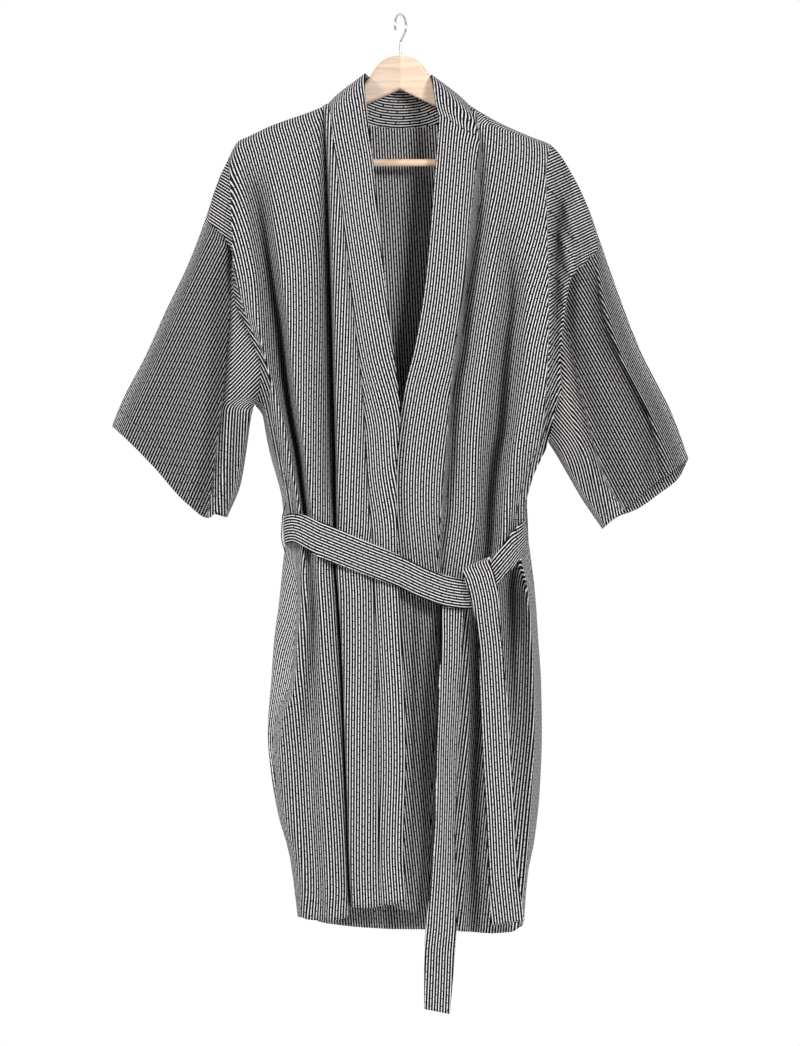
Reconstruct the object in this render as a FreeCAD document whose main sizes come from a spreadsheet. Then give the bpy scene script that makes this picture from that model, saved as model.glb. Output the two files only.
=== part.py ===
import FreeCAD, Part
import math
import os

import Sketcher

# A wrap bathrobe on a contoured wooden hanger, in millimetres. +Z is up, the robe's front faces -Y,
# and the origin is the point of the hook that rests on a rail. Left and right are the viewer's.
# Each panel of cloth is a plain closed solid that holds the room its folded cloth takes up.

Vector = FreeCAD.Vector

DIMENSIONS = {
    "hook_wire": 3.6,
    "hook_loop_radius": 16.0,
    "hook_lead_angle": 45.0,
    "hook_bend_radius": 7.0,
    "hook_end_angle": 205.0,
    "hook_yaw": 29.0,
    "stem_bottom": 88.0,
    "stem_clearance": 0.05,
    "arm_block_depth": 90.0,
    "arm_block_height": 300.0,
    "arm_edge_round": 4.0,
    "arm_tilt": 2.4,
    "bar_diameter": 10.4,
    "bar_drop": 207.5,
    "bar_length": 344.0,
    "cloth": 3.0,
    "front_left_depth": 60.0,
    "front_right_depth": 51.0,
    "back_depth": 48.0,
    "shoulder_round": 30.0,
    "side_round": 60.0,
    "armhole_depth": 36.0,
    "skirt_split": 836.0,
    "skirt_gap": 3.0,
    "belt_width": 40.0,
    "belt_cloth": 3.2,
    "belt_gap": 2.6,
    "knot_width": 46.0,
    "knot_depth": 20.0,
    "knot_height": 58.0,
    "knot_round": 8.0,
    "knot_front": 96.0,
    "front_tail_face": 90.0,
    "back_tail_face": 82.0,
    "tail_cloth": 3.2,
    "loop_thread": 2.6,
    "sleeve_depth": 36.0,
    "cuff_depth": 30.0,
}

# Outlines seen from the front, as (x, z). The shoulder line runs from the end of the left drop
# shoulder over the neck to the end of the right one.
SHOULDER_LINE = [
    (-278, -299), (-258, -244), (-239, -200), (-227, -180), (-202, -167), (-139, -142),
    (-110, -128), (-77, -101), (-49, -82), (43, -84), (94, -122), (117, -140),
    (167, -164), (211, -184), (227, -198), (244, -231), (267, -283), (282, -324),
]
LEFT_SIDE = [
    (-278, -299), (-205, -544), (-183, -595), (-162, -665), (-160, -712), (-164, -780),
    (-181, -930), (-182, -1010), (-170, -1120), (-152, -1205), (-143, -1272),
]
RIGHT_SIDE = [
    (282, -324), (204, -593), (184, -646), (173, -695), (174, -730), (187, -783),
    (197, -900), (198, -1010), (190, -1140), (178, -1210), (173, -1267),
]
LEFT_SEAM = [(-110, -128), (-92, -205), (-68, -401), (-48, -620), (-34, -880), (-29, -1150), (-25, -1250)]
LEFT_EDGE = [(-49, -82), (-46, -145), (-33, -269), (-18, -411), (-1, -562), (-4, -765), (6, -1045), (8, -1243)]
RIGHT_SEAM = [(117, -140), (108, -190), (97, -300), (76, -467), (62, -625), (50, -800), (43, -1000), (38, -1264)]
RIGHT_EDGE = [(43, -84), (53, -145), (48, -226), (34, -383), (6, -525), (-8, -620), (-13, -800), (-13, -1249)]
NECK_EDGE = [(-49, -82), (-30, -96), (0, -104), (28, -97), (43, -84)]
NECK_SEAM = [(-110, -128), (-62, -151), (0, -159), (64, -155), (117, -140)]
LEFT_HEM = [(-143, -1272), (-104, -1272), (-70, -1256), (-25, -1250)]
RIGHT_HEM = [(173, -1267), (140, -1286), (80, -1284), (38, -1264)]
BACK_HEM = [(-143, -1272), (-60, -1284), (60, -1286), (173, -1267)]
LEFT_SHOULDER_END = 0
LEFT_NECK_POINT = 6
RIGHT_NECK_POINT = 11

# The side view of a hanger arm runs along the top from the crown to the tip and back underneath.
ARM_TOP = [
    (0, -57), (-17, -59.5), (-30, -68), (-41, -83), (-54, -99), (-77, -117), (-110, -143),
    (-160, -164), (-194, -181),
]
ARM_TIP = [(-194, -181), (-209, -193), (-212, -207), (-203, -220), (-182, -226)]
ARM_UNDERSIDE = [(-182, -226), (-166, -220), (-148, -202), (-118, -168), (-84, -143), (-47, -125), (0, -104)]
ARM_FRONT = [(0, -8), (-70, -15), (-150, -26), (-214, -31)]
ARM_BACK = [(-214, -9), (-150, 3), (-70, 7), (0, 8)]
ARM_SHORT_EDGE = 30

# How far each panel's edge stays from the middle plane at the shoulder and side seams.
SEAM_GAP = 1.8

# Where the belt's centre line crosses the sides and meets the knot, as (x, z).
BELT_LEFT = [(-160, -718), (-104, -738), (-30, -772), (40, -801), (86, -812)]
BELT_RIGHT = [(174, -732), (158, -747), (137, -771)]
BELT_BACK = [(-160, -718), (-80, -726), (0, -731), (90, -733), (174, -732)]
BELT_STATIONS = 12
KNOT_CENTRE = (112, -804)
FRONT_TAIL = [
    (104, -840), (111, -933), (116, -1060), (122, -1169), (126, -1273),
    (173, -1267), (161, -1185), (155, -1060), (146, -934), (138, -840),
]
BACK_TAIL = [
    (57, -840), (52, -961), (49, -1100), (41, -1215), (34, -1300), (33, -1391),
    (69, -1398), (76, -1300), (78, -1215), (78, -1100), (83, -961), (86, -840),
]

# The end points of each flattened ring of a sleeve, from the armhole to the cuff.
LEFT_RINGS = [((-281, -300), (-209, -546)), ((-405, -577), (-244, -705))]
RIGHT_RINGS = [((285, -325), (208, -595)), ((404, -623), (284, -721))]
RING_POINTS = 16

document = FreeCAD.newDocument("bathrobe")
sheet = document.addObject("Spreadsheet::Sheet", "dims")
for row, (alias, value) in enumerate(DIMENSIONS.items(), start=1):
    sheet.set(f"A{row}", alias)
    sheet.set(f"B{row}", str(value))
    sheet.setAlias(f"B{row}", alias)
document.recompute()

nodes = []


def dim(alias):
    """A driving dimension, read back from the sheet."""
    return float(sheet.get(alias))


def node(item, name):
    """Marks an object of the document as one named piece of the robe."""
    item.Label = name
    nodes.append(item)
    return item


def feature(name, shape):
    """An object whose shape is worked out here."""
    item = document.addObject("Part::Feature", name)
    item.Shape = shape
    item.Placement = FreeCAD.Placement()
    return item


def along(points, share):
    """The point at a share of the length of a broken line."""
    lengths = [math.dist(a, b) for a, b in zip(points, points[1:])]
    left = share * sum(lengths)
    for a, b, length in zip(points, points[1:], lengths):
        if left <= length:
            return tuple(p + (q - p) * left / length for p, q in zip(a, b))
        left -= length
    return points[-1]


def across(points, level, axis=1):
    """The other coordinate of a broken line where its x (axis 0) or z (axis 1) has a given value."""
    ordered = sorted(points, key=lambda p: p[axis])
    if level <= ordered[0][axis]:
        return ordered[0][1 - axis]
    for a, b in zip(ordered, ordered[1:]):
        if level <= b[axis]:
            share = (level - a[axis]) / (b[axis] - a[axis])
            return a[1 - axis] + (b[1 - axis] - a[1 - axis]) * share
    return ordered[-1][1 - axis]


def rounded(distance, radius):
    """How far a rounded edge has risen, from 0 at the edge to 1 a radius away from it."""
    left = 1 - min(max(distance, 0) / radius, 1)
    return math.sqrt(max(0.0, 1 - left * left))


def bulge(x, z, depth):
    """How far the cloth stands from the middle plane at (x, z), for a panel of the given depth."""
    from_top = across(SHOULDER_LINE, x, axis=0) - z
    sides = min(x - across(LEFT_SIDE, z), across(RIGHT_SIDE, z) - x)
    top, bottom = (-299, -544) if x < 0 else (-324, -593)
    share = min(max((top - z) / (top - bottom), 0), 1)
    armhole = dim("armhole_depth") * math.sin(math.pi * share)
    side = rounded(sides, dim("side_round"))
    return rounded(from_top, dim("shoulder_round")) * (armhole + (depth - armhole) * side)


def patch(top, bottom, left, right, columns, rows, ease=1.6):
    """A grid of (x, z) inside four border lines, closer together near the top and the left border."""
    grid = []
    for j in range(rows + 1):
        v = (j / rows) ** ease
        line = []
        for i in range(columns + 1):
            u = (i / columns) ** ease
            edges = [
                (1 - v) * t + v * b + (1 - u) * l + u * r
                for t, b, l, r in zip(along(top, u), along(bottom, u), along(left, v), along(right, v))
            ]
            corners = [
                (1 - u) * (1 - v) * a + u * (1 - v) * b + (1 - u) * v * c + u * v * d
                for a, b, c, d in zip(top[0], top[-1], bottom[0], bottom[-1])
            ]
            line.append(tuple(e - c for e, c in zip(edges, corners)))
        grid.append(line)
    return grid


def normal(grid, j, i):
    """The unit normal of a grid of points at row j and column i, pointing away from the wearer."""
    a = grid[j][min(i + 1, len(grid[j]) - 1)] - grid[j][max(i - 1, 0)]
    b = grid[min(j + 1, len(grid) - 1)][i] - grid[max(j - 1, 0)][i]
    found = a.cross(b)
    found.normalize()
    point = grid[j][i]
    away = Vector(0.3 * point.x, point.y, 12)
    return found if found.dot(away) >= 0 else found * -1


def curve_through(points, closed=False):
    """A smooth edge through points."""
    spline = Part.BSplineCurve()
    spline.interpolate(points, closed)
    return spline.toShape()


def solid_between(outer, inner, sides=True):
    """A closed solid between an outer and an inner skin, each given as rows of points. With no sides,
    each row is a closed ring."""
    curves = [[curve_through(row, not sides) for row in skin] for skin in (outer, inner)]
    faces = [Part.makeRuledSurface(a, b) for skin in curves for a, b in zip(skin, skin[1:])]
    faces += [Part.makeRuledSurface(curves[0][end], curves[1][end]) for end in (0, -1)]
    for j in range(len(outer) - 1 if sides else 0):
        for i in (0, -1):
            rails = [Part.makeLine(skin[j][i], skin[j + 1][i]) for skin in (outer, inner)]
            faces.append(Part.makeRuledSurface(*rails))
    shell = Part.makeShell(faces)
    shell.sewShape()
    solid = Part.makeSolid(Part.makeShell(shell.Faces))
    if solid.Volume < 0:
        solid.reverse()
    return solid


def slab(grid, thickness, lift=0.0):
    """A closed solid that follows a grid of points, lifted off it and of an even thickness."""
    skins = []
    for height in (lift + thickness / 2, lift - thickness / 2):
        skins.append([
            [point + normal(grid, j, i) * height for i, point in enumerate(line)]
            for j, line in enumerate(grid)
        ])
    return solid_between(*skins)


def panel(outline, depth, face, columns, rows, ease=1.6):
    """A panel of cloth between four border lines; face is -1 for the front and 1 for the back."""
    start = SEAM_GAP * face
    grid = [
        [Vector(x, start + face * bulge(x, z, depth), z) for x, z in line]
        for line in patch(*outline, columns, rows, ease)
    ]
    return slab(grid, dim("cloth"))


def hanger_hook():
    """The chrome wire hook: a stem, a bend and an open loop in one plane, turned about the stem."""
    body = document.addObject("PartDesign::Body", "hook")
    planes = {p.Role: p for p in body.Origin.OriginFeatures}
    loop = dim("hook_loop_radius")
    lead = math.radians(dim("hook_lead_angle"))
    centre = Vector(0, dim("hook_wire") / 2 - loop, 0)
    corner = centre - Vector(0, loop / math.sin(lead), 0)
    meets = corner + Vector(math.sin(lead), math.cos(lead), 0) * (loop / math.tan(lead))
    bend = dim("hook_bend_radius")
    trim = bend * math.tan(lead / 2)
    bend_start = corner - Vector(0, trim, 0)
    bend_end = corner + Vector(math.sin(lead), math.cos(lead), 0) * trim
    bend_centre = bend_start + Vector(bend, 0, 0)
    half = math.pi - lead / 2
    bend_middle = bend_centre + Vector(math.cos(half), math.sin(half), 0) * bend
    foot = Vector(0, -dim("stem_bottom"), 0)
    path = body.newObject("Sketcher::SketchObject", "hook_path")
    path.AttachmentSupport = [(planes["XZ_Plane"], "")]
    path.MapMode = "FlatFace"
    path.addGeometry(Part.LineSegment(foot, bend_start), False)
    path.addGeometry(Part.Arc(bend_start, bend_middle, bend_end), False)
    path.addGeometry(Part.LineSegment(bend_end, meets), False)
    circle = Part.Circle(centre, Vector(0, 0, 1), loop)
    end = math.radians(dim("hook_end_angle"))
    path.addGeometry(Part.ArcOfCircle(circle, lead - math.pi / 2, end), False)
    section = body.newObject("Sketcher::SketchObject", "hook_section")
    section.AttachmentSupport = [(planes["XY_Plane"], "")]
    section.MapMode = "FlatFace"
    section.setExpression("AttachmentOffset.Base.z", "-dims.stem_bottom")
    section.addGeometry(Part.Circle(Vector(), Vector(0, 0, 1), dim("hook_wire") / 2), False)
    section.addConstraint(Sketcher.Constraint("Coincident", 0, 3, -1, 1))
    section.addConstraint(Sketcher.Constraint("Diameter", 0, dim("hook_wire")))
    section.setExpression("Constraints[1]", "dims.hook_wire")
    document.recompute()
    pipe = body.newObject("PartDesign::AdditivePipe", "hook_pipe")
    pipe.Profile = section
    pipe.Spine = (path, ["Edge1", "Edge2", "Edge3", "Edge4"])
    body.Placement = FreeCAD.Placement(Vector(), FreeCAD.Rotation(Vector(0, 0, 1), 90 - dim("hook_yaw")))
    return node(body, "hanger_hook")


def cylinder(name, radius, height, placement):
    """A cylinder whose radius and height are expressions on the sheet."""
    item = document.addObject("Part::Cylinder", name)
    item.setExpression("Radius", radius)
    item.setExpression("Height", height)
    item.Placement = placement
    return item


def cut(name, base, tool):
    """The base with the tool taken out of it."""
    item = document.addObject("Part::Cut", name)
    item.Base = base
    item.Tool = tool
    return item


def smooth_wire(*lines):
    """A closed wire of smooth curves through lists of points, with straight edges between them."""
    edges = []
    for line in lines:
        spline = Part.BSplineCurve()
        spline.interpolate(line)
        edges.append(spline.toShape())
    closed = []
    for edge, after in zip(edges, edges[1:] + edges[:1]):
        closed.append(edge)
        a, b = edge.Vertexes[-1].Point, after.Vertexes[0].Point
        if a.distanceToPoint(b) > 0.01:
            closed.append(Part.LineSegment(a, b).toShape())
    return Part.Wire(closed)


def hanger_arm(name, side):
    """One half of the wooden hanger: its side view and its plan, swept through each other, with the bores
    for the hook and the trouser bar. side is 1 for the viewer's left and -1 for the right, which hangs
    a little lower."""
    lean = math.tan(math.radians(dim("arm_tilt"))) if side < 0 else 0
    flat = [
        [Vector(x * side, 0, z + x * lean) for x, z in line]
        for line in (ARM_TOP, ARM_TIP, ARM_UNDERSIDE)
    ]
    plan = [[Vector(x * side, y, 0) for x, y in line] for line in (ARM_FRONT, ARM_BACK)]
    side_view = document.addObject("Part::Extrusion", name + "_side_view")
    side_view.Base = feature(name + "_outline", smooth_wire(*flat))
    side_view.Dir = (0, 1, 0)
    side_view.setExpression("LengthFwd", "dims.arm_block_depth")
    side_view.Symmetric = True
    side_view.Solid = True
    plan_view = document.addObject("Part::Extrusion", name + "_plan_view")
    plan_view.Base = feature(name + "_plan", smooth_wire(*plan))
    plan_view.Dir = (0, 0, -1)
    plan_view.setExpression("LengthFwd", "dims.arm_block_height")
    plan_view.Solid = True
    board = document.addObject("Part::Common", name + "_board")
    board.Base = side_view
    board.Tool = plan_view
    document.recompute()
    edges = board.Shape.Edges
    joint = [i for i, e in enumerate(edges) if all(abs(v.Point.x) < 1 for v in e.Vertexes)]
    short = [i for i, e in enumerate(edges) if e.Length < ARM_SHORT_EDGE]
    radius = dim("arm_edge_round")
    softened = document.addObject("Part::Fillet", name + "_softened")
    softened.Base = board
    softened.Edges = [(i + 1, radius, radius) for i in range(len(edges)) if i not in joint + short]
    bore = cylinder(name + "_hook_bore", "dims.hook_wire / 2 + dims.stem_clearance", "dims.stem_bottom + 1",
                    FreeCAD.Placement(Vector(0, 0, -dim("stem_bottom") - 1), FreeCAD.Rotation()))
    bar_bore = cylinder(name + "_bar_bore", "dims.bar_diameter / 2", "dims.bar_length", bar_placement())
    bored = cut(name + "_bored", cut(name + "_with_hook_bore", softened, bore), bar_bore)
    document.recompute()
    return node(bored, name)


def bar_placement():
    """The trouser bar lies along X, centred under the hook."""
    start = Vector(-dim("bar_length") / 2, -14, -dim("bar_drop"))
    return FreeCAD.Placement(start, FreeCAD.Rotation(Vector(0, 1, 0), 90))


def ring(ends, depth, thinner):
    """The points of a flattened ring around a sleeve, between two end points of its outline."""
    (ax, az), (bx, bz) = ends
    a, b = Vector(ax, 0, az), Vector(bx, 0, bz)
    half = (b - a) * 0.5
    half = half * (1 - thinner / half.Length)
    turns = [2 * math.pi * i / RING_POINTS for i in range(RING_POINTS)]
    middle = (a + b) * 0.5
    return [middle + half * math.cos(t) + Vector(0, (depth - thinner) * math.sin(t), 0) for t in turns]


def sleeve(name, rings):
    """A sleeve below its armhole seam: a flattened tube through its rings, open at both ends."""
    depths = (dim("sleeve_depth"), dim("cuff_depth"))
    skins = [
        [ring(ends, depth, thinner) for ends, depth in zip(rings, depths)]
        for thinner in (0.0, dim("cloth"))
    ]
    return node(feature(name + "_tube", solid_between(*skins, sides=False)), name)


def level_box(name, top, bottom):
    """A block wider than the robe between two heights, which a panel is divided with."""
    item = document.addObject("Part::Box", name)
    item.Length = 900
    item.Width = 400
    item.Height = top - bottom
    item.Placement = FreeCAD.Placement(Vector(-450, -200, bottom), FreeCAD.Rotation())
    return item


def divided(name, shape, upper_name, lower_name):
    """A piece of cloth shared between two nodes, above and below where the skirt starts to open."""
    whole = feature(name, shape)
    split = -dim("skirt_split")
    for half, top, bottom in (
        (upper_name, 0, split),
        (lower_name, split - dim("skirt_gap"), -1500),
    ):
        part = document.addObject("Part::Common", half)
        part.Base = whole
        part.Tool = level_box(half + "_levels", top, bottom)
        node(part, half)
    document.recompute()


def belt_run(name, line, face, depth):
    """A stretch of the belt, wrapped round the outside of the panels below it."""
    lift = dim("cloth") / 2 + dim("belt_gap") + dim("belt_cloth") / 2
    grid = []
    for edge in (1, -1):
        row = []
        for i in range(BELT_STATIONS + 1):
            x, z = along(line, i / BELT_STATIONS)
            border = LEFT_SIDE if x < 0 else RIGHT_SIDE
            inside = x - across(border, z)
            z += edge * dim("belt_width") / 2
            x = across(border, z) + inside
            row.append(Vector(x, face * (SEAM_GAP + bulge(x, z, depth)), z))
        grid.append(row)
    return node(feature(name + "_cloth", slab(grid, dim("belt_cloth"), lift)), name)


def belt_knot():
    """The half knot, a rounded block the size of the knotted cloth."""
    block = document.addObject("Part::Box", "knot_block")
    block.setExpression("Length", "dims.knot_width")
    block.setExpression("Width", "dims.knot_depth")
    block.setExpression("Height", "dims.knot_height")
    x, z = KNOT_CENTRE
    corner = Vector(x - dim("knot_width") / 2, -dim("knot_front"), z - dim("knot_height") / 2)
    block.Placement = FreeCAD.Placement(corner, FreeCAD.Rotation())
    document.recompute()
    smooth = document.addObject("Part::Fillet", "knot_rounded")
    smooth.Base = block
    radius = dim("knot_round")
    smooth.Edges = [(i + 1, radius, radius) for i in range(len(block.Shape.Edges))]
    return node(smooth, "belt_knot")


def belt_tail(name, outline, face):
    """A hanging end of the belt, flat and square-ended."""
    wire = Part.makePolygon([Vector(x, -dim(face), z) for x, z in outline + outline[:1]])
    tail = document.addObject("Part::Extrusion", name + "_strap")
    tail.Base = feature(name + "_outline", wire)
    tail.Dir = (0, 1, 0)
    tail.setExpression("LengthFwd", "dims.tail_cloth")
    tail.Solid = True
    return node(tail, name)


def belt_loop(name, top, middle, bottom):
    """A thread loop at a side seam that the belt runs through."""
    points = [Vector(x, 0, z) for x, z in (top, middle, bottom)]
    arc = Part.Arc(*points)
    path = Part.Wire(arc.toShape())
    start = arc.tangent(arc.FirstParameter)[0]
    circle = Part.Circle(arc.value(arc.FirstParameter), start, dim("loop_thread") / 2)
    return node(feature(name + "_thread", path.makePipeShell([Part.Wire(circle.toShape())], True, False)), name)


def cloth_panels():
    """The two fronts, the back and the bands along their edges."""
    left_top = SHOULDER_LINE[LEFT_SHOULDER_END:LEFT_NECK_POINT + 1]
    right_top = SHOULDER_LINE[RIGHT_NECK_POINT:][::-1]
    back_top = left_top + NECK_SEAM[1:-1] + right_top[::-1]
    left = panel((left_top, LEFT_HEM, LEFT_SIDE, LEFT_SEAM), dim("front_left_depth"), -1, 9, 24)
    divided("front_left_cloth", left, "front_left_panel", "front_left_skirt")
    right = panel((right_top, RIGHT_HEM, RIGHT_SIDE, RIGHT_SEAM), dim("front_right_depth"), -1, 9, 24)
    node(feature("front_right_cloth", right), "front_right_panel")
    back = panel((back_top, BACK_HEM, LEFT_SIDE, RIGHT_SIDE), dim("back_depth"), 1, 18, 26, 1.2)
    node(feature("back_cloth", back), "back_panel")
    for name, seam, edge, depth in (
        ("left", LEFT_SEAM, LEFT_EDGE, "front_left_depth"),
        ("right", RIGHT_SEAM, RIGHT_EDGE, "front_right_depth"),
    ):
        gap = 1.0 if name == "left" else -1.0
        start = (seam[0][0] + gap, seam[0][1] - 0.5)
        seam = [start] + [(x + gap, z) for x, z in seam[1:]]
        band = panel(((seam[0], edge[0]), (seam[-1], edge[-1]), seam, edge), dim(depth), -1, 3, 16)
        if name == "left":
            divided("front_band_cloth", band, "front_band_left", "front_band_left_skirt")
        else:
            node(feature("front_band_right_cloth", band), "front_band_right")
    ends = [(NECK_EDGE[0], NECK_SEAM[0]), (NECK_EDGE[-1], NECK_SEAM[-1])]
    raised = [(x, z + 1.5) for x, z in NECK_SEAM]
    neck = panel((NECK_EDGE, raised, (ends[0][0], raised[0]), (ends[1][0], raised[-1])),
                 dim("back_depth"), 1, 12, 3, 1.0)
    node(feature("neck_band_cloth", neck), "neck_band_back")


def check_and_write():
    """Stops if any object failed, and writes each piece to its own file."""
    document.recompute()
    for item in document.Objects:
        if "Invalid" in item.State or "Error" in item.State:
            raise RuntimeError(f"{item.Name} is {item.State}")
    for item in nodes:
        if item.Shape.isNull() or not item.Shape.isValid():
            raise RuntimeError(f"{item.Label} has no valid shape")
    os.makedirs("parts", exist_ok=True)
    for item in nodes:
        item.Shape.exportStep(f"parts/{item.Label}.step")
        print(f"{item.Label}: {len(item.Shape.Solids)} solid, {item.Shape.Volume / 1000:.1f} cm3")


hanger_hook()
hanger_arm("hanger_arm_left", 1)
hanger_arm("hanger_arm_right", -1)
node(cylinder("bar", "dims.bar_diameter / 2", "dims.bar_length", bar_placement()), "trouser_bar")
cloth_panels()
sleeve("sleeve_left", LEFT_RINGS)
sleeve("sleeve_right", RIGHT_RINGS)
belt_run("belt_left_run", BELT_LEFT, -1, dim("front_left_depth"))
belt_run("belt_right_run", BELT_RIGHT, -1, dim("front_right_depth"))
belt_run("belt_back_run", BELT_BACK, 1, dim("back_depth"))
belt_knot()
belt_tail("belt_tail_front", FRONT_TAIL, "front_tail_face")
belt_tail("belt_tail_back", BACK_TAIL, "back_tail_face")
belt_loop("belt_loop_left", (-168, -670), (-177, -720), (-168.5, -770))
belt_loop("belt_loop_right", (184, -672), (191, -724), (191.5, -776))
check_and_write()
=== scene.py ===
"""The bathrobe on its hanger: hung cloth, belt, wood and chrome over the CAD frame."""

import math

import bpy
import numpy as np
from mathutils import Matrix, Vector


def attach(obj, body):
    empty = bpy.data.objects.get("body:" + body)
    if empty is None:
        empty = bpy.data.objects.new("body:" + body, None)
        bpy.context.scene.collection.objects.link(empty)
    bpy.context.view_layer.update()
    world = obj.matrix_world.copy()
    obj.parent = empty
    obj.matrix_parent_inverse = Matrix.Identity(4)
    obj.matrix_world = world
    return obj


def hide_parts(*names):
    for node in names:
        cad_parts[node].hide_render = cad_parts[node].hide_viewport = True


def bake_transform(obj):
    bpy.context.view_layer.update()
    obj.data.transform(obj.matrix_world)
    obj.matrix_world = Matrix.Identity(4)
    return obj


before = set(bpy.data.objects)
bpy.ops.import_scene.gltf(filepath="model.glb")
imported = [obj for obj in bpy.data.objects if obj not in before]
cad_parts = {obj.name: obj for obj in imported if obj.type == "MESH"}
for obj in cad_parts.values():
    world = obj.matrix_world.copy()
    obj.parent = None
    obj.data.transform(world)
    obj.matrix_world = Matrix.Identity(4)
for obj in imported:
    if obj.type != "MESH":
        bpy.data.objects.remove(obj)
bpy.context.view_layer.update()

MM = 0.001
RIB = 3.85 * MM  # one black and one white rib
CLOTH = 1.3 * MM
BAND_CLOTH = 2.4 * MM
BELT_CLOTH = 2.6 * MM
HEM = 26 * MM
SHOULDER_ROUND = 34 * MM
SHOULDER_TURN = 9 * MM
SLEEVE_TUCK = 12 * MM
HEM_RISE = 0.8 * MM
DASH = 10.6 * MM  # from one dash to the next along every second rib
FAR_LEFT = 8.0  # left of every rib, so that their numbers stay above 0
PICK = 0.9 * MM  # from one weft thread to the next
CELL = 4.5 * MM  # widest step between columns
FOLD_SHARE = 0.45  # of a fold's depth, in the measure across the ribs
SHOULDER_SEAM = 22 * MM
STRIP_END = -0.735  # behind the belt
STRIP_HINGE = 0.21  # how far from the middle the ribs of a side strip turn
REACH = 10  # columns looked at on both sides of a hollow
ROUND_EDGE = 9 * MM
# Depth of the painted shade laid on the front of each sleeve.
SLEEVE_SHADE = 18 * MM
PUCKER_SLOPE, PUCKER_DEPTH, PUCKER_WIDTH = 0.3, 4 * MM, 21 * MM


# ---------------------------------------------------------------- curves and grids


def smooth(x, y, at):
    """The curve through (x, y) that turns only at the points given, at positions `at`."""
    step, slope = np.diff(x), np.diff(y) / np.diff(x)
    same = slope[1:] * slope[:-1] > 0
    left, right = np.where(same, slope[:-1], 1), np.where(same, slope[1:], 1)
    a, b = 2 * step[1:] + step[:-1], step[1:] + 2 * step[:-1]
    lean = np.concatenate(([slope[0]], np.where(same, (a + b) / (a / left + b / right), 0), [slope[-1]]))
    i = np.clip(np.searchsorted(x, at, side="right") - 1, 0, len(step) - 1)
    t = (at - x[i]) / step[i]
    return (
        y[i] * (1 + 2 * t) * (1 - t) ** 2
        + lean[i] * step[i] * t * (1 - t) ** 2
        + y[i + 1] * t**2 * (3 - 2 * t)
        - lean[i + 1] * step[i] * t**2 * (1 - t)
    )


def travelled(points):
    """How far along a row of points each one is."""
    steps = np.linalg.norm(np.diff(points, axis=0), axis=1)
    return np.concatenate(([0], np.cumsum(np.maximum(steps, 0.4 * MM))))


def follow(line, shares):
    """Points at those shares of the way along a line of (x, z, forward) in millimetres."""
    points = np.array(line, float) * MM
    far = travelled(points[:, :2])
    return np.stack([smooth(far, points[:, k], shares * far[-1]) for k in range(3)], axis=1)


def rounded(distance, radius):
    """Rises from 0 at an edge to 1 at the radius, like a quarter circle."""
    t = np.clip(distance / radius, 0, 1)
    return np.sqrt(1 - (1 - t) ** 2)


def weave_rows(lines, closed=False):
    """A grid of points: rows across the given lines, each a smooth curve through them."""
    net = np.stack(lines, axis=1)  # rows x lines x 3
    if closed:
        net = np.concatenate([net, net[:, :1]], axis=1)
    gaps = np.linalg.norm(np.diff(net, axis=1), axis=2)
    counts = np.maximum(2, np.ceil(gaps.max(axis=0) / CELL).astype(int))
    grid = []
    for row in net:
        at = travelled(row * [1, 0.5, 1])
        wanted = np.concatenate(
            [np.linspace(at[k], at[k + 1], counts[k], endpoint=False) for k in range(len(counts))] + [at[-1:]]
        )
        grid.append(np.stack([smooth(at, row[:, k], wanted) for k in range(3)], axis=1))
    marks = np.concatenate(([0], np.cumsum(counts)))
    return np.array(grid), marks


def ripple(grid, size, seed):
    """Small soft waves in the hang of the cloth, the same on every run."""
    rng = np.random.default_rng(seed)
    wave = np.zeros(grid.shape[:2])
    for _ in range(7):
        across, down = rng.uniform(25, 60), rng.uniform(4, 16)
        phase, strength = rng.uniform(0, 2 * math.pi), rng.uniform(0.4, 1)
        wave += strength * np.sin(across * grid[:, :, 0] + down * grid[:, :, 2] + phase)
    grid[:, :, 1] += size * wave / 3
    return grid


def build(name, grid, grain, edges, thickness, material):
    """A mesh of a grid of points, with its grain, the hollow depth that sets its painted shade, and its
    distances to stitch lines.
    """
    rows, columns = grid.shape[:2]
    index = np.arange(rows * columns).reshape(rows, columns)
    faces = np.stack([index[:-1, :-1], index[:-1, 1:], index[1:, 1:], index[1:, :-1]], axis=-1).reshape(-1, 4)
    mesh = bpy.data.meshes.new(name)
    mesh.from_pydata(grid.reshape(-1, 3).tolist(), [], faces.tolist())
    for label, values in (("grain", grain), ("edges", edges)):
        layer = mesh.attributes.new(label, "FLOAT_VECTOR", "POINT")
        layer.data.foreach_set("vector", values.reshape(-1).astype(np.float32))
    mesh.polygons.foreach_set("use_smooth", [True] * len(mesh.polygons))
    mesh.materials.append(material)
    piece = bpy.data.objects.new(name, mesh)
    bpy.context.scene.collection.objects.link(piece)
    solid = piece.modifiers.new("cloth", "SOLIDIFY")
    solid.thickness, solid.offset, solid.use_rim = thickness, 0, True
    return piece


def side_strips(marks):
    """The first and the last strip of a piece, each after the column of the fold line beside it."""
    return (marks[1], slice(0, marks[1])), (marks[-2], slice(marks[-2], None))


def less_folded(grid, marks):
    """A panel with shallower folds, as part of their cloth comes out of the shoulder's fullness.

    The strips next to its two sides keep their depth.
    """
    seen = grid * [1, FOLD_SHARE, 1]
    for mark, strip in side_strips(marks):
        seen[:, strip, 1] += (1 - FOLD_SHARE) * (grid[:, strip, 1] - grid[:, mark : mark + 1, 1])
    return seen


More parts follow.
